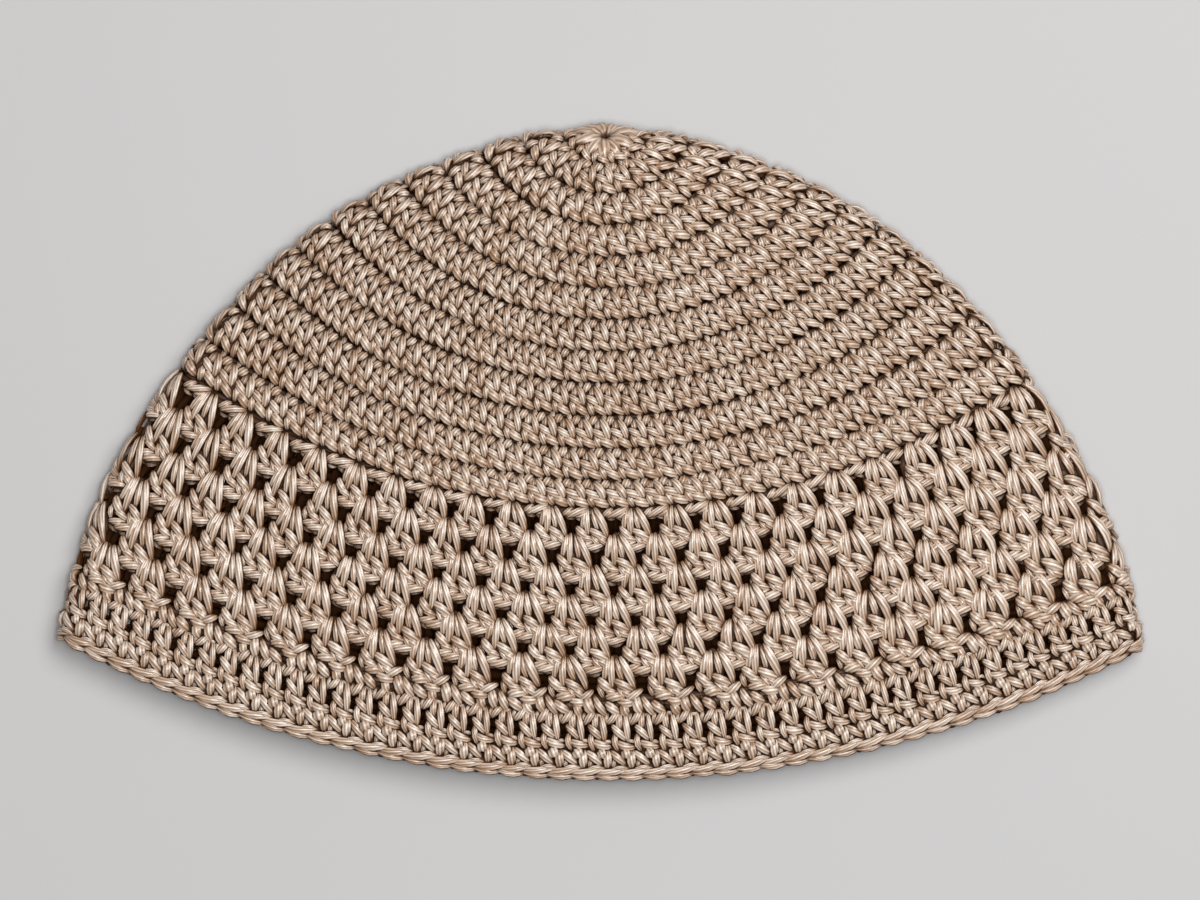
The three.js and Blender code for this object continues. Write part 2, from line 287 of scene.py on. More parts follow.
# %% Openwork: a fan of legs gathered at its foot, with a hole at its right
FAN_STITCH = Chart(
    11.2,
    {
        "left leg": ((-0.115, -0.05, 0.7), (-0.175, 0.33, 1.1), (-0.21, 0.70, 0.3), 1.7),
        "middle leg": ((-0.035, -0.09, 0.7), (-0.055, 0.45, 1.2), (-0.06, 1.0, 0.25), 1.75),
        "shaded leg": ((0.045, -0.03, 0.5), (0.11, 0.38, 0.95), (0.16, 0.73, 0.25), 1.6),
        "right leg": ((0.11, -0.10, 0.8), (0.275, 0.40, 1.25), (0.43, 1.02, 0.5), 1.95),
        "foot": ((0.01, -0.06, -1.0), (0.03, 0.2, -0.45), (0.06, 0.6, -0.6), 2.8),
        "left wrap": ((-0.30, 0.64, 0.4), (-0.188, 0.86, 1.25), (-0.02, 1.09, 0.2), 2.0),
        "left low wrap": ((-0.235, 0.95, 0.2), (-0.085, 1.04, 1.1), (0.075, 1.14, 0.4), 1.75),
        "left peg": ((-0.305, 0.84, -0.1), (-0.277, 1.05, 0.65), (-0.22, 1.27, 0.1), 1.3),
        "right wrap": ((-0.005, 0.72, 0.4), (0.185, 0.865, 1.25), (0.40, 1.09, 0.35), 1.95),
        "right peg": ((0.08, 0.91, 0.1), (0.155, 1.12, 0.95), (0.25, 1.32, 0.3), 1.5),
        "right curl": ((0.15, 0.97, 0.2), (0.27, 1.10, 1.1), (0.39, 1.26, 0.4), 1.7),
        "base left": ((-0.24, 1.34, 0.2), (-0.10, 1.27, 0.95), (0.09, 1.22, 0.4), 1.8),
        "base right": ((-0.13, 1.45, 0.2), (0.085, 1.355, 1.1), (0.33, 1.295, 0.3), 1.85),
        "base under left": ((-0.255, 1.43, -0.5), (-0.125, 1.515, 0.0), (0.015, 1.55, -0.5), 0.9),
        "base under right": ((0.02, 1.535, -0.5), (0.14, 1.515, 0.0), (0.27, 1.43, -0.5), 0.9),
    },
    {
        "left post": ((-0.10, 0.1, -1.05), (-0.17, 0.65, -1.0), (-0.18, 1.25, -1.05), 2.2),
        "middle post": ((0.0, 0.05, -1.05), (0.0, 0.65, -1.0), (0.02, 1.25, -1.05), 2.4),
        "right post": ((0.10, 0.05, -1.05), (0.20, 0.6, -1.0), (0.22, 1.2, -1.05), 2.2),
        "base bar": ((-0.28, 1.36, -1.1), (0.03, 1.40, -1.05), (0.34, 1.36, -1.1), 2.0),
    },
)
CLOSING_FAN = Chart(
    FAN_STITCH.pitch,
    FAN_STITCH.face | {
        "base left": ((-0.17, 1.30, 0.2), (0.0, 1.235, 1.1), (0.18, 1.26, 0.4), 2.15),
        "base right": ((0.08, 1.36, 0.2), (0.25, 1.45, 1.1), (0.44, 1.46, 0.3), 2.05),
        "riser": ((0.27, 1.33, 0.4), (0.43, 1.19, 1.3), (0.60, 1.03, 0.5), 1.75),
    },
    FAN_STITCH.back,
)
CROWN_EDGE_CHAIN = Chart(
    10.4,
    {
        "short strand": ((0.25, 0.27, 0.2), (0.345, 0.155, 1.0), (0.46, 0.05, 0.4), 1.45),
        "long strand": ((0.32, 0.31, 0.2), (0.57, 0.155, 1.2), (0.87, 0.02, 0.4), 1.65),
        "second strand": ((0.57, 0.30, 0.0), (0.745, 0.225, 0.85), (0.92, 0.13, 0.2), 1.5),
        "under left": ((0.31, 0.33, -0.4), (0.42, 0.385, 0.1), (0.545, 0.37, -0.4), 0.85),
        "under right": ((0.555, 0.32, -0.4), (0.655, 0.385, 0.1), (0.755, 0.47, -0.4), 0.9),
    },
    {"bar": ((-0.05, 0.14, -0.55), (0.5, 0.17, -0.5), (1.05, 0.14, -0.55), 2.0)},
)
# The backing strands lie low in the cloth, so they take painted shade.
HOLE_BACKING = Chart(
    FAN_STITCH.pitch,
    {},
    {
        "left backing": ((0.36, 0.05, -1.2), (0.40, 0.6, -1.2), (0.36, 1.25, -1.2), 3.6),
        "right backing": ((0.60, 0.05, -1.2), (0.62, 0.6, -1.2), (0.64, 1.25, -1.2), 3.6),
    },
)

# %% Border: single, double and single crochet, and the corded edge
BORDER_PAIR = Chart(
    11.7,
    {
        "blob": ((0.27, 0.50, 0.0), (0.25, 0.83, 0.85), (0.315, 1.18, 0.2), 2.15),
        "first lens": ((0.47, 0.16, 0.2), (0.49, 0.62, 1.15), (0.56, 1.08, 0.3), 2.3),
        "second lens": ((0.61, 0.20, 0.2), (0.715, 0.68, 1.1), (0.82, 1.12, 0.3), 1.95),
        "third lens": ((0.82, 0.48, 0.2), (0.94, 0.74, 1.1), (1.07, 1.03, 0.3), 2.15),
    },
    {
        "upper bar": ((-0.05, 0.30, -1.05), (0.5, 0.33, -1.0), (1.05, 0.30, -1.05), 2.4),
        "lower bar": ((-0.05, 0.75, -1.05), (0.5, 0.78, -1.0), (1.05, 0.75, -1.05), 2.4),
    },
)
BORDER_DOUBLE = Chart(
    5.9,
    {
        "bead": ((0.32, -0.02, 0.5), (0.15, 0.13, 1.2), (-0.07, 0.305, 0.3), 1.7),
        "small bead": ((-0.065, 0.03, 0.1), (-0.115, 0.15, 0.8), (-0.15, 0.30, 0.2), 0.95),
        "back loop": ((0.38, 0.14, 0.0), (0.595, 0.06, 0.45), (0.83, 0.20, 0.0), 1.0),
        "left leg": ((0.45, 0.02, 0.2), (0.39, 0.245, 1.0), (0.42, 0.47, 0.3), 1.65),
        "right leg": ((0.655, 0.02, 0.2), (0.745, 0.40, 1.2), (0.79, 0.82, 0.5), 1.6),
        "upper wrap": ((0.14, 0.375, 0.3), (0.385, 0.525, 1.2), (0.69, 0.755, 0.4), 1.8),
        "crescent": ((0.30, 0.555, 0.1), (0.225, 0.80, 1.0), (0.38, 1.05, 0.2), 1.55),
        "lower wrap": ((0.33, 0.765, 0.3), (0.66, 0.885, 1.25), (1.05, 0.935, 0.4), 1.95),
        "end curl": ((0.79, 0.81, 0.5), (0.93, 0.775, 1.05), (1.07, 0.84, 0.3), 0.85),
    },
    {
        "post": ((0.48, 0.0, -1.05), (0.51, 0.5, -1.0), (0.54, 1.0, -1.05), 3.1),
        "head bar": ((-0.05, 0.07, -1.05), (0.5, 0.08, -1.0), (1.05, 0.07, -1.05), 2.2),
        "foot bar": ((-0.05, 0.93, -1.05), (0.5, 0.95, -1.0), (1.05, 0.93, -1.05), 2.2),
    },
)
BORDER_SINGLE = Chart(
    6.0,
    {
        "bead": ((0.72, 0.03, 0.9), (0.735, 0.21, 1.8), (0.735, 0.39, 0.9), 2.5),
        "left lens": ((0.01, 0.08, 0.3), (-0.025, 0.57, 1.2), (-0.03, 1.03, 0.3), 2.15),
        "right lens": ((0.10, 0.12, 0.3), (0.40, 0.46, 1.2), (0.71, 0.88, 0.3), 1.95),
        "peg": ((0.247, 0.51, -0.1), (0.255, 0.82, 0.5), (0.277, 1.11, 0.0), 1.1),
    },
    {
        "upper bar": ((-0.05, 0.30, -1.05), (0.5, 0.33, -1.0), (1.05, 0.30, -1.05), 2.3),
        "lower bar": ((-0.05, 0.80, -1.05), (0.5, 0.83, -1.0), (1.05, 0.80, -1.05), 2.3),
    },
)
CORDED_EDGE = Chart(
    6.0,
    {
        "long leaf": ((-0.80, 0.36, 0.1), (0.02, 0.38, 1.0), (0.82, 0.06, 0.6), 1.75),
        "hump": ((0.06, 0.24, 0.6), (0.447, 0.0, 1.25), (0.79, 0.20, 0.5), 1.2),
        "lower leaf": ((-0.70, 0.52, 0.1), (-0.10, 0.82, 0.7), (0.47, 0.72, 0.3), 1.45),
    },
    {
        "inner leaf": ((-0.1, 0.5, -1.15), (0.5, 0.55, -1.15), (1.1, 0.5, -1.15), 2.6),
        "inner bar": ((-0.1, -0.05, -0.9), (0.5, 0.0, -0.85), (1.1, -0.05, -0.9), 2.4),
    },
)
charts = [CROWN_CENTRE, CROWN_STITCH, FAN_STITCH, CLOSING_FAN, CROWN_EDGE_CHAIN, HOLE_BACKING]
charts += [BORDER_PAIR, BORDER_DOUBLE, BORDER_SINGLE, CORDED_EDGE]
print("strands in each chart:", [(len(chart.face), len(chart.back)) for chart in charts])

# %% [markdown]
# ## Hand work
# A round repeats its chart as often as it has stitches. Plain copies would look machine-made, and no two
# stitches made by hand are alike, so each wanders a little from its place together with its neighbours, and
# each strand a little more. The numbers come from a seeded generator, so that the cap is the same one every
# time.

# %% Stitches that wander
hand = np.random.default_rng(27)
STITCH_WANDER = np.array([0.04, 0.015])
NEIGHBOURS = 2
STRAND_WANDER = 0.014
HEIGHT_WANDER = 0.06


def work_by_hand(charted, count):
    """The charted spots of count stitches, each a little off its place."""
    spots = np.repeat(charted[None], count, axis=0)
    loose = hand.normal(size=(count, 2))
    loose = sum(np.roll(loose, step, axis=0) for step in range(-NEIGHBOURS, NEIGHBOURS + 1))
    spots[..., :2] += (STITCH_WANDER / math.sqrt(2 * NEIGHBOURS + 1)) * loose[:, None, None, :]
    spots[..., :2] += STRAND_WANDER * hand.normal(size=spots[..., :2].shape)
    spots[..., 2] += HEIGHT_WANDER * hand.normal(size=spots.shape[:2])[..., None]
    return spots


# %% [markdown]
# ## How the cloth hangs
# The wall's loops are even arcs, and the laid cap's rounds are not. Towards the folds the openwork droops
# below its arc. Where two rounds of the crown meet, the strands dip and draw apart, which makes the seam's
# groove. On the right half of the cap the cloth is pulled: its stitches are turned, its seams are shallower
# and its fans have wider bellies. The wall could be bent for all this, but the solid model shares it, so the
# strands are moved on it instead.

# %% Droop near the folds
DROOP, DROOP_WIDTH, DROOP_POWER = 5.5, 116.7, 4
DROOP_REACHES = [70, 118, 130, 161]
DROOP_SHARES = [0, 1, 1, 0]


def droop(reach, share):
    """How far a round hangs below the wall's own loops near the folds, in millimetres of reach."""
    x = read_grid(wall, reach, share)[..., 0]
    grown = np.interp(reach, DROOP_REACHES, DROOP_SHARES)
    return DROOP * (x / DROOP_WIDTH) ** DROOP_POWER * grown**2 * (3 - 2 * grown)


print("largest droop, millimetres:", round(float(droop(REACHES[:, None], even[None, :]).max()), 1))

# %% Ends that go under
REACH_UNDER = 0.33
DIVE = 0.3


def dive_under(paths, normals, spots):
    """Carries both ends of every strand past their charted spots and down into the cloth."""
    for tip in (0, 2):
        away = paths[:, :, tip] - paths[:, :, 1]
        away /= np.linalg.norm(away, axis=-1, keepdims=True)
        paths[:, :, tip] += REACH_UNDER * away - DIVE * normals[:, :, tip]
        # The lower height also gives the ends painted shade in the yarn's colour.
        spots[:, :, tip, 2] -= DIVE


# %% Laying a round of strands
Strands = namedtuple("Strands", "paths normals widths lifts")
MID_ROUND = 0.5
RIGHT_EASE = 0.45
BELLY, BELLY_REACH = 0.38, 0.3
BULGE_WIDER = 0.6
WIDTH_WANDER = 0.05
THINNEST, THICKEST = 0.82, 1.1
PLUMP = 1.2


def lay_round(chart, strands, count, start, height, offset=0.0, upright=0.0, right_turn=0.0,
              bulge=0.0, dip=0.0, gap=0.0):
    """The paths of a round's strands, count stitches of a chart from reach start to start plus height."""
    charted = np.array([spots for *spots, _ in strands.values()])
    spots = work_by_hand(charted, count)
    u, v = spots[..., 0], spots[..., 1]
    pitch = np.interp(start + height / 2, REACHES, GIRTHS) / count
    number = np.arange(count)[:, None, None]
    rightness = np.clip(np.sin(2 * math.pi * (number + offset) / count), 0, 1)
    turned = right_turn * rightness
    belly = np.clip(1 - ((v - BELLY) / BELLY_REACH) ** 2, 0, 1)
    across = u * (1 + bulge * rightness * belly)
    across -= (upright + turned * height / pitch) * (v - MID_ROUND)
    down = v + turned * pitch / height * (u - charted[..., 0].mean())
    seam = 1 - RIGHT_EASE * rightness
    from_seam = np.clip(4 * v * (1 - v), 0, 1)
    # The dip lowers the heights that set the yarn's painted shade, so the seams are also darkened by painted
    # shade.
    spots[..., 2] -= dip * seam * (1 - np.sqrt(from_seam))
    down = MID_ROUND + (1 - gap * seam) * (down - MID_ROUND)
    share = (number + offset + across) / count
    reach = start + height * down
    paths, normals = on_wall(reach + droop(reach, share), share, spots[..., 2])
    dive_under(paths, normals, spots)
    snug = min(max(pitch / chart.pitch, THINNEST), THICKEST)
    charted_widths = np.array([width for *_, width in strands.values()])
    widths = PLUMP * snug * charted_widths * (1 + WIDTH_WANDER * hand.normal(size=spots.shape[:2]))
    widths *= 1 + BULGE_WIDER * bulge * rightness[..., 0]
    lifts = spots[..., 2].reshape(-1, 3)
    return Strands(paths.reshape(-1, 3, 3), normals[:, :, 1].reshape(-1, 3), widths.reshape(-1), lifts)


# %% [markdown]
# ## Joining the strands into one piece
# Each strand's path is a curve through its three points. The spindle's length runs along it, and its section
# stands square to it, turned so that up is the cloth's outward normal. What would sink into the table is
# pressed flat on it, as the cap's own weight does. Thousands of single objects would be slow to handle, so
# the strands of a few rounds become one mesh, whose points carry the strand's tone, its height, and how much
# of it faces out of the cloth. The yarn's colour turns the height and the facing into painted shade.

# %% Bending spindles along the paths
MM = 0.001


def bend_spindles(strands, spindle):
    """The points of every strand, the strands' lengths, and how high the yarn's middle is over mid-wall."""
    begin, mid, end = (strands.paths[:, i, None, :] for i in range(3))
    pull = 2 * mid - (begin + end) / 2
    t = ((1 + spindle.points[:, 2]) / 2)[None, :, None]
    centre = (1 - t) ** 2 * begin + 2 * t * (1 - t) * pull + t**2 * end
    along = (1 - t) * (pull - begin) + t * (end - pull)
    along /= np.linalg.norm(along, axis=-1, keepdims=True)
    up = strands.normals[:, None, :]
    up = up - (up * along).sum(axis=-1, keepdims=True) * along
    up /= np.linalg.norm(up, axis=-1, keepdims=True)
    side = np.cross(up, along)
    half = strands.widths[:, None, None] / 2
    points = centre + half * (spindle.points[None, :, 0:1] * side + spindle.points[None, :, 1:2] * up)
    points[..., 2] = np.maximum(points[..., 2], 0)
    lengths = np.linalg.norm(mid - begin, axis=-1) + np.linalg.norm(end - mid, axis=-1)
    low, peak, far = (strands.lifts[:, i, None] for i in range(3))
    s = t[..., 0]
    rise = (1 - s) ** 2 * low + 2 * s * (1 - s) * (2 * peak - (low + far) / 2) + s**2 * far
    return points, lengths[:, 0], rise


# %% The maps of a strand
BAKE_MAP = "OFBake"
BAKE_MARGIN = 0.08
HALF_PLY = 0.5
MANY = 100


def bake_map(spindle, cell, cells_across):
    """A map that gives each strand a square of its own, for finishes that are baked to a picture."""
    place = np.stack([cell % cells_across, cell // cells_across], axis=-1)[:, None, :]
    return (place + BAKE_MARGIN + (1 - 2 * BAKE_MARGIN) * spindle.uvs).reshape(-1, 2) / cells_across


def yarn_map(spindle, lengths):
    """A map that counts plies across a strand, from a place of its own, and millimetres along it."""
    plies = spindle.sides // 2
    turned = np.repeat(spindle.uvs[None], len(lengths), axis=0)
    first_ply = plies * hand.integers(MANY, size=len(lengths))
    turned[..., 0] = turned[..., 0] * plies - HALF_PLY + first_ply[:, None]
    turned[..., 1] *= lengths[:, None]
    return turned.reshape(-1, 2)


# %% A mesh from many strands
MIDDLE_TONE, TONE_SPREAD = 0.5, 0.5
FOLD_SHARE = 0.6


def bared(normals):
    """How far the cloth stands on edge, which bares the sides of its strands, from 0 to 1 in a fold."""
    return np.clip(1 - np.abs(normals[:, 2:]) / FOLD_SHARE, 0, 1)


def tile(values, count, step):
    """values, repeated count times, each time step further on."""
    return (values[None, :] + step * np.arange(count)[:, None]).reshape(-1)


def new_mesh(name, points, corners, starts, maps, values):
    """A smooth mesh from its points, its faces' corners and starts, its maps and its points' values."""
    mesh = bpy.data.meshes.new(name)
    mesh.vertices.add(len(points))
    mesh.vertices.foreach_set("co", points.reshape(-1))
    mesh.loops.add(len(corners))
    mesh.loops.foreach_set("vertex_index", corners)
    mesh.polygons.add(len(starts))
    mesh.polygons.foreach_set("loop_start", starts)
    for map_name, coordinates in maps.items():
        layer = mesh.uv_layers.new(name=map_name)
        layer.uv.foreach_set("vector", np.concatenate(coordinates).reshape(-1))
    for value_name, numbers in values.items():
        attribute = mesh.attributes.new(value_name, "FLOAT", "POINT")
        attribute.data.foreach_set("value", np.concatenate(numbers))
    mesh.update(calc_edges=True)
    mesh.validate()
    mesh.shade_smooth()
    return mesh


def join_strands(name, parts):
    """A mesh object of all the strands in parts, pairs of strands and the spindle that they use."""
    points, corners, starts = [], [], []
    maps = {"yarn": [], BAKE_MAP: []}
    values = {"tone": [], "height": [], "shown": []}
    first_point, first_corner, first_cell = 0, 0, 0
    total = sum(len(strands.widths) for strands, _ in parts)
    cells_across = math.ceil(math.sqrt(total))
    for strands, spindle in parts:
        count = len(strands.widths)
        bent, lengths, heights = bend_spindles(strands, spindle)
        points.append(bent.reshape(-1, 3) * MM)
        corners.append(first_point + tile(spindle.corners, count, len(spindle.points)))
        starts.append(first_corner + tile(spindle.starts, count, len(spindle.corners)))
        maps["yarn"].append(yarn_map(spindle, lengths))
        maps[BAKE_MAP].append(bake_map(spindle, first_cell + np.arange(count), cells_across))
        tones = MIDDLE_TONE + TONE_SPREAD * np.tanh(hand.normal(size=count))
        values["tone"].append(np.repeat(tones, len(spindle.points)))
        values["height"].append(heights.reshape(-1))
        # In a fold the sides of the strands face out, so they get no painted shade there.
        values["shown"].append(np.maximum(spindle.shown, bared(strands.normals)).reshape(-1))
        first_point += count * len(spindle.points)
        first_corner += count * len(spindle.corners)
        first_cell += count
    points, corners, starts = np.concatenate(points), np.concatenate(corners), np.concatenate(starts)
    piece = bpy.data.objects.new(name, new_mesh(name, points, corners, starts, maps, values))
    bpy.context.scene.collection.objects.link(piece)
    triangles = sum(len(strands.widths) * spindle.triangles for strands, spindle in parts)
    print(name, total, "strands,", triangles, "triangles")
    return piece


# %% [markdown]
# ## The yarn
# The yarn is mercerised cotton: several plies twisted together, each a bundle of fine fibres with a satin
# shine. The twist is already in the strands' shape. A wave on the strand's own map paints each ply light on
# its crown and brown beside it, a painted highlight and painted shade between the plies, and a noise that is
# drawn out along the strand makes the fibres. The values that the strands carry do the rest: no two have
# quite the same tone, painted shade browns the sides that turn down into the cloth and darkens a strand where
# it dives, and a painted highlight makes the highest yarn the palest. A picture of crochet could give the
# same from above, but it would not follow the strands in any other view.

# %% Colours and nodes
def linear(hex_colour):
    """An sRGB hex colour as linear red, green, blue and alpha."""
    parts = [int(hex_colour[i:i + 2], 16) / 255 for i in (1, 3, 5)]
    return [c / 12.92 if c <= 0.04045 else ((c + 0.055) / 1.055) ** 2.4 for c in parts] + [1.0]


def add_node(tree, kind, links=None, **settings):
    """A node with its settings, and links from input to the socket or value that feeds it."""
    node = tree.nodes.new(kind)
    for name, value in settings.items():
        setattr(node, name, value)
    for key, source in (links or {}).items():
        if isinstance(source, bpy.types.NodeSocket):
            tree.links.new(source, node.inputs[key])
        else:
            node.inputs[key].default_value = source
    return node


# %% Mercerised cotton, plied
# Real fibres are far too fine to show, so the broadest ones are drawn about as wide as a ply.
FIBRES_IN_PLY = 0.9
FIBRE_LENGTH = 5.0
FIBRE_DETAIL, FIBRE_ROUGHNESS = 3.0, 0.6
PLY_SHARE, FIBRE_SHARE, TONE_SHARE = 0.6, 0.9, 0.25


def ply_pattern(tree):
    """How near a spot is to the crown of its ply, the fibres there, and the two together."""
    place = add_node(tree, "ShaderNodeUVMap", uv_map="yarn")
    split = add_node(tree, "ShaderNodeSeparateXYZ", {0: place.outputs[0]})
    ply, along = split.outputs[0], split.outputs[1]
    angle = add_node(tree, "ShaderNodeMath", {0: ply, 1: math.pi}, operation="MULTIPLY")
    wave = add_node(tree, "ShaderNodeMath", {0: angle.outputs[0]}, operation="SINE")
    ridge = add_node(tree, "ShaderNodeMath", {0: wave.outputs[0]}, operation="ABSOLUTE")
    across = add_node(tree, "ShaderNodeMath", {0: ply, 1: FIBRES_IN_PLY}, operation="MULTIPLY")
    down = add_node(tree, "ShaderNodeMath", {0: along, 1: 1 / FIBRE_LENGTH}, operation="MULTIPLY")
    fibre_place = add_node(tree, "ShaderNodeCombineXYZ", {0: across.outputs[0], 1: down.outputs[0]})
    fibre = add_node(tree, "ShaderNodeTexNoise",
                     {"Vector": fibre_place.outputs[0], "Scale": 1.0, "Detail": FIBRE_DETAIL,
                      "Roughness": FIBRE_ROUGHNESS},
                     noise_dimensions="2D")
    # The ply wave goes into the colour as painted shade between the plies and a painted highlight on their
    # crowns.
    lines = add_node(tree, "ShaderNodeMath", {0: ridge.outputs[0], 1: PLY_SHARE}, operation="MULTIPLY")
    fibrous = add_node(tree, "ShaderNodeMath", {0: fibre.outputs[0], 1: FIBRE_SHARE, 2: lines.outputs[0]},
                       operation="MULTIPLY_ADD")
    return ridge.outputs[0], fibre.outputs[0], fibrous.outputs[0]


# %% Its colours, from the painted shade of the pits to the painted highlight of the proudest yarn
DARKEST, LIGHTEST = 0.5, 1.4
BODY_STOP = 0.5
DEEP, OPEN_AIR, LEAST_YARN = -0.5, 0.85, 0.08
PROUD_FROM, PROUD_TO, PROUD_SHARE = 0.7, 1.3, 0.3
EDGE_FROM, EDGE_TO = 0.25, 0.75
# Pit and edge are painted shade and proud is a painted highlight; from groove to crest the ramp is the yarn's
# own tone and fibres together with painted shade between the plies and a painted highlight on their crowns.
YARN_PIT = linear("#402717")
YARN_EDGE = linear("#5f3a1e")
YARN_GROOVE = linear("#8f6644")
YARN_BODY = linear("#b99a80")
YARN_CREST = linear("#eadccd")
YARN_PROUD = linear("#faf2e8")


def yarn_colour(tree, ridge, fibrous):
    """The yarn's colour with painted shade in the pits and on the sides and a painted highlight, and how
    clear a spot is of that shade.
    """
    tone = add_node(tree, "ShaderNodeAttribute", attribute_name="tone")
    shade = add_node(tree, "ShaderNodeMath", {0: tone.outputs["Fac"], 1: TONE_SHARE, 2: fibrous},
                     operation="MULTIPLY_ADD")
    level = add_node(tree, "ShaderNodeMapRange",
                     {"Value": shade.outputs[0], "From Min": DARKEST, "From Max": LIGHTEST})
    body = add_node(tree, "ShaderNodeValToRGB", {0: level.outputs[0]})
    stops = body.color_ramp.elements
    stops[0].color = YARN_GROOVE
    stops[1].color = YARN_CREST
    stops.new(BODY_STOP).color = YARN_BODY
    height = add_node(tree, "ShaderNodeAttribute", attribute_name="height")
    open_air = add_node(tree, "ShaderNodeMapRange",
                        {"Value": height.outputs["Fac"], "From Min": DEEP, "From Max": OPEN_AIR,
                         "To Min": LEAST_YARN},
                        interpolation_type="SMOOTHSTEP")
    proud = add_node(tree, "ShaderNodeMapRange",
                     {"Value": height.outputs["Fac"], "From Min": PROUD_FROM, "From Max": PROUD_TO,
                      "To Max": PROUD_SHARE},
                     interpolation_type="SMOOTHSTEP")
    # Painted highlight: the crowns of the plies on the highest yarn are paled towards YARN_PROUD.
    catch = add_node(tree, "ShaderNodeMath", {0: proud.outputs[0], 1: ridge}, operation="MULTIPLY")
    with_painted_highlight = add_node(tree, "ShaderNodeMix", {0: catch.outputs[0], 6: body.outputs[0], 7: YARN_PROUD},
                      data_type="RGBA")
    # Painted shade: the sides of a strand that turn down into the cloth are browned towards YARN_EDGE.
    shown = add_node(tree, "ShaderNodeAttribute", attribute_name="shown")
    edge = add_node(tree, "ShaderNodeMapRange",
                    {"Value": shown.outputs["Fac"], "From Min": EDGE_FROM, "From Max": EDGE_TO},
                    interpolation_type="SMOOTHSTEP")
    edged = add_node(tree, "ShaderNodeMix", {0: edge.outputs[0], 6: YARN_EDGE, 7: with_painted_highlight.outputs[2]},
                     data_type="RGBA")
    # Painted shade: yarn that lies low, in pits and where a strand dives, is darkened towards YARN_PIT.
    colour = add_node(tree, "ShaderNodeMix", {0: open_air.outputs[0], 6: YARN_PIT, 7: edged.outputs[2]},
                      data_type="RGBA")
    clear = add_node(tree, "ShaderNodeMath", {0: open_air.outputs[0], 1: edge.outputs[0]},
                     operation="MULTIPLY")
    return colour.outputs[2], clear.outputs[0]


# %% The finished yarn
COTTON_IOR = 1.53
SMOOTHEST, ROUGHEST = 0.22, 0.38
FIBRE_RELIEF, RELIEF_STRENGTH = 0.00012, 0.8


def make_yarn():
    """Satin cotton with painted shade in brown lines between its plies, darker by painted shade and duller
    where a strand dives.
    """
    material = bpy.data.materials.new("mercerised_cotton_yarn")
    material.use_nodes = True
    tree = material.node_tree
    ridge, fibre, fibrous = ply_pattern(tree)
    colour, clear = yarn_colour(tree, ridge, fibrous)
    bump = add_node(tree, "ShaderNodeBump",
                    {"Height": fibrous, "Strength": RELIEF_STRENGTH, "Distance": FIBRE_RELIEF})
    rough = add_node(tree, "ShaderNodeMapRange", {"Value": fibre, "To Min": SMOOTHEST, "To Max": ROUGHEST})
    shader = tree.nodes["Principled BSDF"]
    tree.links.new(colour, shader.inputs["Base Color"])
    tree.links.new(bump.outputs[0], shader.inputs["Normal"])
    tree.links.new(rough.outputs[0], shader.inputs["Roughness"])
    tree.links.new(clear, shader.inputs["Specular IOR Level"])
    shader.inputs["IOR"].default_value = COTTON_IOR
    return material


yarn = make_yarn()
print("yarn nodes:", len(yarn.node_tree.nodes))

# %% [markdown]
# ## From rounds to pieces
# A strand that can be seen gets the spindle with the most faces, and one under the cap a plainer one. One
# spindle for all would do, but with many more faces. The back strands are in the dark of the cloth, given
# them as painted shade, apart from the folds, which turn them to the light. A finished piece stands for a
# solid of the frame and moves with the frame's one body.

# %% The strands of one round
LEAST_SEEN = -0.35
FOLD_LIGHT = 1.6
BACKED_BELOW = 0.2


def chosen(strands, which):
    """Only the strands that which picks out."""
    return Strands(*(column[which] for column in strands))


def lay_back(chart, *place, **shift):
    """The back strands of a round, whose painted shade, the dark of the cloth's inside, is lifted where the
    folds bare them.
    """
    back = lay_round(chart, chart.back, *place, **shift)
    return back._replace(lifts=back.lifts + FOLD_LIGHT * bared(back.normals))


def face_and_back(chart, *place, **shift):
    """The strands of a round with their spindles: those in sight, those under the cap, and the back."""
    face = lay_round(chart, chart.face, *place, **shift)
    back = lay_back(chart, *place, **shift)
    is_seen = face.normals[:, 2] > LEAST_SEEN
    seen = chosen(face, is_seen)
    hidden = chosen(face, ~is_seen)
    return [(seen, FACE_STRAND), (hidden, UNDER_STRAND), (back, BACK_STRAND)]


def back_holes(*place, **shift):
    """Strands behind the holes, only in the folds and under the cap, where light would shine in. Under the
    cap they fill the holes with painted shade.
    """
    back = lay_back(HOLE_BACKING, *place, **shift)
    return [(chosen(back, back.normals[:, 2] < BACKED_BELOW), BACK_STRAND)]


# %% Making a piece and giving it its place in the frame
def make_piece(name, node, parts):
    """Joins strands into a piece that stands for a solid of the frame."""
    piece = join_strands(name, parts)
    piece.data.materials.append(yarn)
    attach(piece, "root")
    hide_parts(node)


# %% [markdown]
# ## The crown
# Twelve rounds of double crochet. The first has eleven stitches, and most later rounds gain some, so that
# the crown grows into a dome. Near the centre the stitches stand upright, and further out they lean. The
# seams are deepest just outside the first round. One long spiral would have no seams, so each round is laid
# as a loop of its own. They are made as three pieces, to keep each mesh small.

# %% Crown rounds
CROWN_COUNTS = [11, 18, 26, 36, 46, 58, 70, 77, 84, 88, 90, 90]
CROWN_ROUND = 8.0
LAST_CROWN_ROUND = 6.9
CROWN_PIECES = [(1, 7), (8, 10), (11, 12)]
ROUND_SHIFT = 0.37
MOST_UPRIGHT = 0.3
LEANING_ROUND = 9
CROWN_TURN = 0.24
SEAM_ROUNDS = [1, 2, 6, 9]
SEAM_DIPS = [1.05, 1.22, 1.2, 1.12]
SEAM_GAPS = [0, 0.05, 0.05, 0.04]

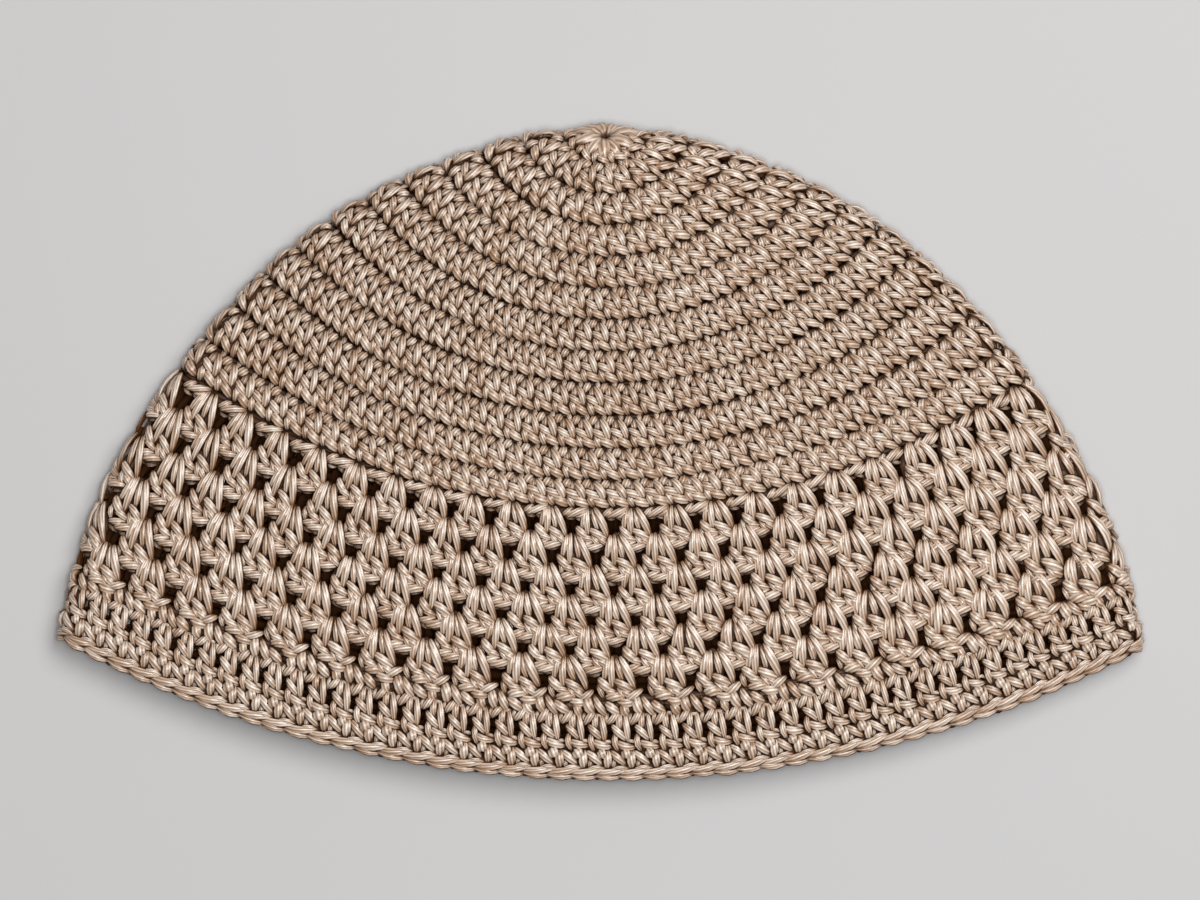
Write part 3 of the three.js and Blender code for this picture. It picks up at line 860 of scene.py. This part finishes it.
for first, last in CROWN_PIECES:
    parts = []
    for number in range(first, last + 1):
        chart = CROWN_CENTRE if number == 1 else CROWN_STITCH
        count = CROWN_COUNTS[number - 1]
        start = CROWN_ROUND * (number - 1)
        tall = LAST_CROWN_ROUND if number == len(CROWN_COUNTS) else CROWN_ROUND
        shift = {
            "offset": ROUND_SHIFT * number,
            "upright": MOST_UPRIGHT * max(1 - (number - 1) / LEANING_ROUND, 0),
            "right_turn": CROWN_TURN if number > 1 else 0.0,
            "dip": np.interp(number, SEAM_ROUNDS, SEAM_DIPS),
            "gap": np.interp(number, SEAM_ROUNDS, SEAM_GAPS),
        }
        parts += face_and_back(chart, count, start, tall, **shift)
    make_piece(f"crown_rounds_{first}_to_{last}", "crown", parts)

# %% [markdown]
# ## The openwork band
# Six rounds of fans, forty-five to a round, each half a fan along from the last. Holes could be cut out of a
# sheet, but their edges would be sharp. Here a hole is just what two fans leave open between them, so the
# inside of the cap shows dark through it, in its own shade and in the painted shade of the strands behind.
# The first round starts under a chain at the crown's edge.

# %% Openwork rounds
FANS = 45
OPEN_ROUNDS = 6
OPEN_PIECES = [(1, 3), (4, OPEN_ROUNDS)]
OPEN_START = (len(CROWN_COUNTS) - 1) * CROWN_ROUND + LAST_CROWN_ROUND
FIRST_OPEN_START, FIRST_OPEN_ROUND = OPEN_START + 0.9, 6.5
SECOND_OPEN_START, OPEN_ROUND = OPEN_START + 7.4, 7.55
FIRST_FAN = -0.2
HALF_FAN = 0.5
FAN_TURN = 0.24
FAN_BULGE = 0.22

for first, last in OPEN_PIECES:
    parts = []
    for number in range(first, last + 1):
        start = SECOND_OPEN_START + OPEN_ROUND * (number - 2)
        tall = OPEN_ROUND
        if number == 1:
            start, tall = FIRST_OPEN_START, FIRST_OPEN_ROUND
        fan = CLOSING_FAN if number == OPEN_ROUNDS else FAN_STITCH
        along = FIRST_FAN + HALF_FAN * (number - 1)
        shift = {"offset": along, "right_turn": FAN_TURN, "bulge": FAN_BULGE}
        parts += face_and_back(fan, FANS, start, tall, **shift)
        parts += back_holes(FANS, start, tall, **shift)
    if first == 1:
        parts += face_and_back(CROWN_EDGE_CHAIN, FANS, OPEN_START, OPEN_ROUND, offset=FIRST_FAN)
    make_piece(f"openwork_rounds_{first}_to_{last}", "openwork_band", parts)

# %% [markdown]
# ## The border and its corded edge
# A round of single crochet gathers the fans, a tall round of double crochet stands on it with narrow slots
# between its stitches, and a second single round ends the cloth. Slip stitches along the rim lie over each
# other like leaves and make the corded edge. A twisted cord along the rim would be quicker, but it would
# slant evenly, and the leaves do not.

# %% Border rounds and edge
OPEN_BAND = 46.2
BORDER_START = OPEN_START + OPEN_BAND
FIRST_SINGLE, DOUBLE, SECOND_SINGLE, EDGE = 5.1, 9.3, 4.4, 3.2
BORDER_COUNT = 94
BORDER_SHIFT = 0.36
DOUBLE_SHIFT = 0.46

double_start = BORDER_START + FIRST_SINGLE
single_start = double_start + DOUBLE
edge_start = single_start + SECOND_SINGLE
last_fan = FIRST_FAN + HALF_FAN * (OPEN_ROUNDS - 1)
border_parts = face_and_back(BORDER_PAIR, FANS, BORDER_START, FIRST_SINGLE, offset=last_fan)
border_parts += face_and_back(BORDER_DOUBLE, BORDER_COUNT, double_start, DOUBLE, offset=DOUBLE_SHIFT)
border_parts += face_and_back(BORDER_SINGLE, BORDER_COUNT, single_start, SECOND_SINGLE, offset=BORDER_SHIFT)
make_piece("border_rounds", "border_band", border_parts)
edge_parts = face_and_back(CORDED_EDGE, BORDER_COUNT, edge_start, EDGE, offset=BORDER_SHIFT)
make_piece("corded_edge", "rim_edging", edge_parts)

# %% [markdown]
# ## Table, light and camera
# The cap lies on a plain pale table and is seen from straight above, from far enough away that the puffed
# middle does not look larger than the edges. A wide lamp stands beyond the crown, to the right, so that the
# shadows fall to the left and below. A small one would give them hard edges, and they are soft. A second lamp
# overhead and a pale room fill them.

# %% Table
# Matt paper scatters light evenly, so it takes soft shadows and hardly shines.
FLOOR_SIZE = 3.0
PAPER_COLOUR = linear("#c7c6c6")
PAPER_ROUGHNESS, PAPER_SPECULAR = 0.9, 0.1

bm = bmesh.new()
bmesh.ops.create_grid(bm, x_segments=1, y_segments=1, size=FLOOR_SIZE / 2)
floor_mesh = bpy.data.meshes.new("table")
bm.to_mesh(floor_mesh)
bm.free()
floor = bpy.data.objects.new("table", floor_mesh)
bpy.context.scene.collection.objects.link(floor)
paper = bpy.data.materials.new("pale_matt_paper")
paper.use_nodes = True
paper_shader = paper.node_tree.nodes["Principled BSDF"]
paper_shader.inputs["Base Color"].default_value = PAPER_COLOUR
paper_shader.inputs["Roughness"].default_value = PAPER_ROUGHNESS
paper_shader.inputs["Specular IOR Level"].default_value = PAPER_SPECULAR
floor_mesh.materials.append(paper)
print("table, metres:", FLOOR_SIZE)

# %% Light
LAMP_PLACE = (0.44, 0.36, 1.2)
LAMP_SIZE = 1.0
LAMP_POWER = 12.8
FILL_PLACE = (0.0, -0.1, 1.5)
FILL_SIZE = 0.5
FILL_POWER = 9.6
ROOM_COLOUR = linear("#fbf9f6")
ROOM_STRENGTH = 0.12


def add_lamp(name, place, size, power):
    """A round soft lamp that faces the cap."""
    data = bpy.data.lights.new(name, "AREA")
    data.shape = "DISK"
    data.size = size
    data.energy = power
    lamp = bpy.data.objects.new(name, data)
    lamp.location = place
    lamp.rotation_euler = lamp.location.to_track_quat("Z", "Y").to_euler()
    bpy.context.scene.collection.objects.link(lamp)


add_lamp("soft_lamp", LAMP_PLACE, LAMP_SIZE, LAMP_POWER)
add_lamp("fill_lamp", FILL_PLACE, FILL_SIZE, FILL_POWER)
room = bpy.data.worlds.new("pale_room")
room.use_nodes = True
background = room.node_tree.nodes["Background"]
background.inputs["Color"].default_value = ROOM_COLOUR
background.inputs["Strength"].default_value = ROOM_STRENGTH
bpy.context.scene.world = room
bpy.context.scene.view_settings.view_transform = "Standard"
print("lamps, watts:", LAMP_POWER, FILL_POWER)

# %% Camera
IMAGE_WIDTH = 0.2978
OUTLINE_HEIGHT = 0.008
LENS = 300.0
SENSOR = 36.0
CAMERA_PLACE = (-0.0006, 0.0004)
CAMERA_ROLL = math.radians(0.5)

camera_data = bpy.data.cameras.new("overhead_camera")
camera_data.lens = LENS
camera_data.sensor_width = SENSOR
camera = bpy.data.objects.new("overhead_camera", camera_data)
camera.location = (*CAMERA_PLACE, OUTLINE_HEIGHT + IMAGE_WIDTH * LENS / SENSOR)
camera.rotation_euler = (0, 0, CAMERA_ROLL)
bpy.context.scene.collection.objects.link(camera)
bpy.context.scene.camera = camera
print("camera height, metres:", round(camera.location.z, 3))
